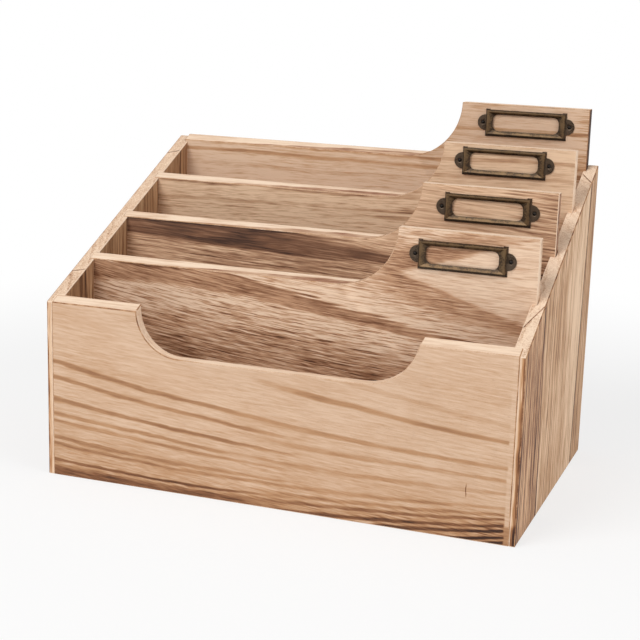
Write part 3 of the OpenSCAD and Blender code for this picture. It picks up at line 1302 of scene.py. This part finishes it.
@dataclass
class Case:
    """The box: front, back, bottom and two sides of three planks each.

    End_centre is how far off the centre of the rings is in the boards' ends, plank_step how far
    it shifts from plank to plank, and missed the width of the torched strip that the saw left on
    the back, all in millimetres. Ease is the width of the front's and the sides' arrises, in
    metres.
    """

    side_planks: dict[str, tuple[Timber, Figure]] = field(default_factory=lambda: {
        "right_side_front_plank": (RUDDY, STREAKY_PLANK),
        "right_side_middle_plank": (PALE_TAN, PALE_PLANK),
        "right_side_rear_plank": (PALE_TAN, PLAIN_PLANK),
        "left_side_front_plank": (DUN, DARK_PLANK),
        "left_side_middle_plank": (DUN, PLAIN_PLANK),
        "left_side_rear_plank": (DUN, PLAIN_PLANK),
    })
    end_centre: float = 60.0
    plank_step: float = 25.0
    missed: float = 4.2
    ease: float = 0.5 * MM

    def boards(self) -> list[Board]:
        """Lists the case's boards with their finishes.

        Returns:
            The boards, front and back first.
        """
        across = EndGrain(0.0, self.end_centre)
        burnt = EndGrain(0.0, self.end_centre, char=1.0, timber=TAN)
        lip = ScorchedLip(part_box("front_panel")[1].x / MM, CAD_BOX[1].x / MM)
        front = TorchedFace(TAN, FRONT_FIGURE, split=Split(112.0, 23.0, 32.5))
        back = TorchedFace(TAN, BACK_FIGURE, scorch=Scorch(60.0, 0.25))
        rear_edge = CutEdge(front=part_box("back_panel")[0].y / MM, strip=self.missed)
        made = [
            Board("front_panel", "panel_wood", front, Arris(0.5, 0.1), across, TOASTED, ease=self.ease),
            Board("back_panel", "panel_wood", back, TOASTED, burnt, seam=SCORCHED, edge=rear_edge),
        ]
        for number, (node, (timber, figure)) in enumerate(self.side_planks.items()):
            joint_depth, end_char = (0.66, 0.1) if node.startswith("right") else (0.36, 0.24)
            face = TorchedFace(
                timber, figure, Grain.UPRIGHT, joint_depth=joint_depth, front=CAD_BOX[0].y / MM,
                front_char=0.4 if node == "right_side_front_plank" else 0.0,
            )
            end = EndGrain(self.end_centre, self.plank_step * number - self.end_centre, end_char)
            made.append(Board(node, "side_wood", face, SCORCHED, end, edge=lip, ease=self.ease))
        return made

    def build(self) -> list[bpy.types.Object]:
        """Builds the boards, and dresses the bottom board and its brads.

        Returns:
            Every piece of the case.
        """
        pieces = [board.build() for board in self.boards()]
        bottom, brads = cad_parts["bottom_board"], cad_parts["bottom_brads"]
        face = TorchedFace(DUN, BOTTOM_FIGURE, Grain.LEVEL_FLAT_BOARD)
        dress_solid(bottom, face.material("bottom_board_face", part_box("bottom_board")[1].z / MM))
        dress_solid(brads, BrightSteel().material("brad_steel"))
        return [*pieces, bottom, brads]


@dataclass
class Partition:
    """A divider that lifts out, with the label holder on its tab.

    End_char is how dark its ends are, end_centre the ring centre that shows there, on Y, and
    missed the torched strip that the saw left on the top edge, both in millimetres.
    """

    place: str
    timber: Timber
    figure: Figure
    scorch: Scorch
    end_char: float = 0.1
    end_centre: float = 40.0
    missed: float = 3.6
    arris: Arris = Arris(0.3, 0.2)

    def build(self) -> list[bpy.types.Object]:
        """Builds the divider and its label holder.

        Returns:
            The divider, the holder and the pins.
        """
        node = f"{self.place}_divider"
        board = Board(
            node, "divider_wood", TorchedFace(self.timber, self.figure, scorch=self.scorch),
            self.arris, EndGrain(0.0, self.end_centre, self.end_char),
            edge=CutEdge(front=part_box(node)[0].y / MM, strip=self.missed),
            body=f"{self.place}_partition",
        )
        return [board.build(), *LabelHolder(self.place, board.body).build()]


# ---- Studio ----


@dataclass
class Lamp:
    """A soft square lamp that points at the middle of the box."""

    name: str
    place: Vector
    size: float
    power: float

    def build(self, target: Vector) -> None:
        """Hangs the lamp.

        Args:
            target: What it points at.
        """
        light = bpy.data.lights.new(self.name, "AREA")
        light.size = self.size
        light.energy = self.power
        lamp = bpy.data.objects.new(self.name, light)
        lamp.location = self.place
        lamp.rotation_mode = "QUATERNION"
        lamp.rotation_quaternion = (target - self.place).to_track_quat("-Z", "Y")
        bpy.context.scene.collection.objects.link(lamp)


@dataclass
class Studio:
    """A white floor and surroundings, soft lamps, and the camera.

    The floor turns from paper_white to full white between white_from and white_by from its
    middle, in metres. Sky is the light of the surroundings on the object.
    """

    camera_place: Vector = field(default_factory=lambda: Vector((0.29114, -0.82072, 0.29941)))
    azimuth: float = math.radians(19.85)
    elevation: float = math.radians(13.59)
    roll: float = math.radians(1.68)
    lens: float = 84.07
    sensor: float = 36.0
    floor_radius: float = 3.0
    floor_grey: float = 0.9
    paper_white: float = 0.7
    white_from: float = 0.28
    white_by: float = 0.6
    sky: float = 0.38
    lamps: tuple[Lamp, ...] = field(default_factory=lambda: (
        Lamp("key_lamp", Vector((-0.7, -1.3, 1.5)), 1.1, 23.0),
        Lamp("side_lamp", Vector((1.5, -0.5, 0.9)), 1.0, 10.0),
        Lamp("top_lamp", Vector((0.1, 0.3, 1.7)), 1.2, 1.5),
    ))

    def build_camera(self) -> None:
        """Sets the camera up with its tilt and its slight roll."""
        lens = bpy.data.cameras.new("camera")
        lens.lens = self.lens
        lens.sensor_width = self.sensor
        camera = bpy.data.objects.new("camera", lens)
        turn = Matrix.Rotation(self.azimuth, 3, "Z") @ Matrix.Rotation(math.pi / 2 - self.elevation, 3, "X")
        camera.rotation_mode = "QUATERNION"
        camera.rotation_quaternion = (turn @ Matrix.Rotation(self.roll, 3, "Z")).to_quaternion()
        camera.location = self.camera_place
        bpy.context.scene.collection.objects.link(camera)
        bpy.context.scene.camera = camera

    def build_surroundings(self) -> None:
        """Makes the world: plain soft light, and white to the camera and in reflections."""
        world = bpy.data.worlds.new("studio")
        bpy.context.scene.world = world
        world.use_nodes = True
        tree = world.node_tree
        background = tree.nodes["Background"]
        background.inputs["Color"].default_value = grey(1.0)
        seen = self.seen_directly(tree)
        strength = seen * (1.0 - self.sky) + self.sky
        tree.links.new(strength.socket, background.inputs["Strength"])

    @staticmethod
    def seen_directly(tree: bpy.types.NodeTree) -> Term:
        """Tells where the camera sees a surface itself, in a reflection or through glass.

        Args:
            tree: The node tree that the nodes go into.

        Returns:
            1 where it does and 0 elsewhere.
        """
        path = tree.nodes.new("ShaderNodeLightPath")
        camera, glossy, through = (
            Term(tree, path.outputs[f"Is {kind} Ray"]) for kind in ("Camera", "Glossy", "Transmission")
        )
        return (camera + glossy + through).math("MINIMUM", 1.0)

    def build_floor(self) -> bpy.types.Object:
        """Lays the floor, which keeps the object's shadow and turns white away from it.

        Returns:
            The floor.
        """
        shape = bmesh.new()
        bmesh.ops.create_circle(shape, cap_ends=True, radius=self.floor_radius, segments=96)
        mesh = bpy.data.meshes.new("floor")
        shape.to_mesh(mesh)
        shape.free()
        floor = bpy.data.objects.new("floor", mesh)
        bpy.context.scene.collection.objects.link(floor)

        canvas = Canvas("floor_paper")
        x, y, _ = canvas.place()
        for socket, value in (
            ("Base Color", grey(self.floor_grey)), ("Roughness", 0.9), ("Specular IOR Level", 0.1)
        ):
            canvas.shader.inputs[socket].default_value = value
        white = canvas.tree.nodes.new("ShaderNodeEmission")
        blend = canvas.tree.nodes.new("ShaderNodeMixShader")
        away = x.hypot(y).rise(self.white_from / MM, self.white_by / MM)
        share = (away * (1.0 - self.paper_white) + self.paper_white) * self.seen_directly(canvas.tree)
        for socket, source in zip(blend.inputs, (share, canvas.shader.outputs[0], white.outputs[0])):
            feed(canvas.tree, socket, source)
        feed(canvas.tree, canvas.tree.nodes["Material Output"].inputs["Surface"], blend.outputs[0])
        floor.data.materials.append(canvas.material)
        return floor

    def build(self) -> None:
        """Builds the floor, the surroundings, the lamps and the camera."""
        self.build_floor()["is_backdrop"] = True
        self.build_surroundings()
        middle = (CAD_BOX[0] + CAD_BOX[1]) / 2
        for lamp in self.lamps:
            lamp.build(middle)
        self.build_camera()


def report(pieces: list[bpy.types.Object]) -> None:
    """Logs each piece with its faces and its size in millimetres.

    Args:
        pieces: The pieces that were built.
    """
    for piece in pieces:
        size = " x ".join(f"{length / MM:.1f}" for length in piece.dimensions)
        log.info("%s: %d faces, %s mm", piece.name, len(piece.data.polygons), size)


def write_sizes() -> None:
    """Gathers the solids' box and the finished object's box, each as its two corners, and keeps them
    nowhere.
    """
    boxes = {"cad": CAD_BOX, "visual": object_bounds()}
    {name: [list(corner) for corner in box] for name, box in boxes.items()}


def main() -> None:
    """Builds the case, the partitions and the studio, and reports each piece."""
    logging.basicConfig(level=logging.INFO, format="%(name)s: %(message)s")
    bpy.context.scene.view_settings.view_transform = "Standard"
    report(Case().build())
    report(LabelHolder("back", "case").build())
    for partition in (
        Partition("front", ROSY, FRONT_DIVIDER_FIGURE, Scorch(-30.0, 0.25)),
        Partition("middle", AMBER, MIDDLE_DIVIDER_FIGURE, Scorch(0.0, 0.3), end_char=0.7),
        Partition("rear", HONEY, REAR_DIVIDER_FIGURE, Scorch(60.0, 0.5)),
    ):
        report(partition.build())
    Studio().build()
    write_sizes()


if __name__ == "__main__":
    main()
